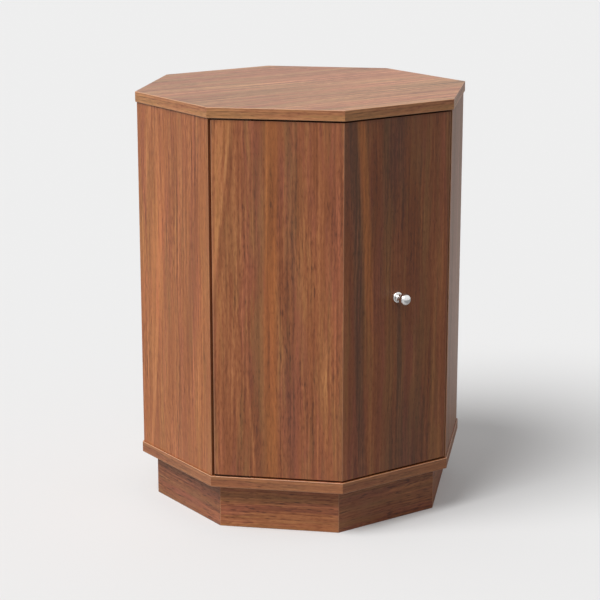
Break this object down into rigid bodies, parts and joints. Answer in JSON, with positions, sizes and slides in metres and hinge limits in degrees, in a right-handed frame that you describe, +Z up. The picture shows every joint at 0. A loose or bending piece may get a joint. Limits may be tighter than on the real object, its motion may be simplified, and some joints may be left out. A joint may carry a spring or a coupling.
{
  "type": "storage side table with door",
  "caption": "Octagonal walnut-veneer side table cupboard on a recessed plinth, with a two-facet mitred door on pivot hinges, a magnetic catch and a small chrome knob.",
  "frame": {"origin": "centre of the footprint on the floor, under the plinth", "axes": "+Z up; -Y is the outward normal of the front facet, which is the hinged board of the door; +X to the right of someone facing it"},
  "size_m": [0.457, 0.457, 0.609],
  "materials": {
    "walnut_veneer": "satin lacquered walnut-look veneer on board",
    "pale_wood": "bare beech and plywood",
    "plated_steel": "bright zinc plate",
    "bronzed_steel": "dark bronze plate",
    "polished_chrome": "polished",
    "brown_plastic": "moulded, fine texture",
    "nylon": "brown nylon",
    "ferrite": "ground ferrite"
  },
  "bodies": {
    "cabinet": {"top_panel": "walnut_veneer", "deck_panel": "walnut_veneer", "right_panel": "walnut_veneer", "back_right_panel": "walnut_veneer", "back_panel": "walnut_veneer", "back_left_panel": "walnut_veneer", "left_panel": "walnut_veneer", "front_left_panel": "walnut_veneer", "corner_splines": "pale_wood", "top_dowels": "pale_wood", "bottom_dowels": "pale_wood", "top_cam_bolts": "plated_steel", "bottom_cam_bolts": "plated_steel", "top_cam_locks": "plated_steel", "bottom_cam_locks": "plated_steel", "plinth_front": "walnut_veneer", "plinth_front_right": "walnut_veneer", "plinth_right": "walnut_veneer", "plinth_back_right": "walnut_veneer", "plinth_back": "walnut_veneer", "plinth_back_left": "walnut_veneer", "plinth_left": "walnut_veneer", "plinth_front_left": "walnut_veneer", "plinth_corner_blocks": "pale_wood", "plinth_screws": "plated_steel", "top_hinge_plate": "bronzed_steel", "bottom_hinge_plate": "bronzed_steel", "top_hinge_pin": "bronzed_steel", "bottom_hinge_pin": "bronzed_steel", "hinge_plate_screws": "bronzed_steel", "top_hinge_washer": "nylon", "bottom_hinge_washer": "nylon", "catch_housing": "brown_plastic", "catch_magnet": "ferrite", "catch_pole_plates": "plated_steel", "catch_screws": "plated_steel"},
    "door": {"door_front_panel": "walnut_veneer", "door_side_panel": "walnut_veneer", "door_spline": "pale_wood", "top_hinge_leaf": "bronzed_steel", "bottom_hinge_leaf": "bronzed_steel", "hinge_leaf_screws": "bronzed_steel", "door_knob": "polished_chrome", "knob_screw": "plated_steel", "strike_plate": "plated_steel", "strike_screw": "plated_steel"}
  },
  "joints": [
    {"name": "door_swing", "type": "hinge", "parent": "cabinet", "child": "door", "pos_m": [-0.08694, -0.2233, 0.338], "axis": [0, 0, -1], "range_deg": [0, 110]}
  ]
}
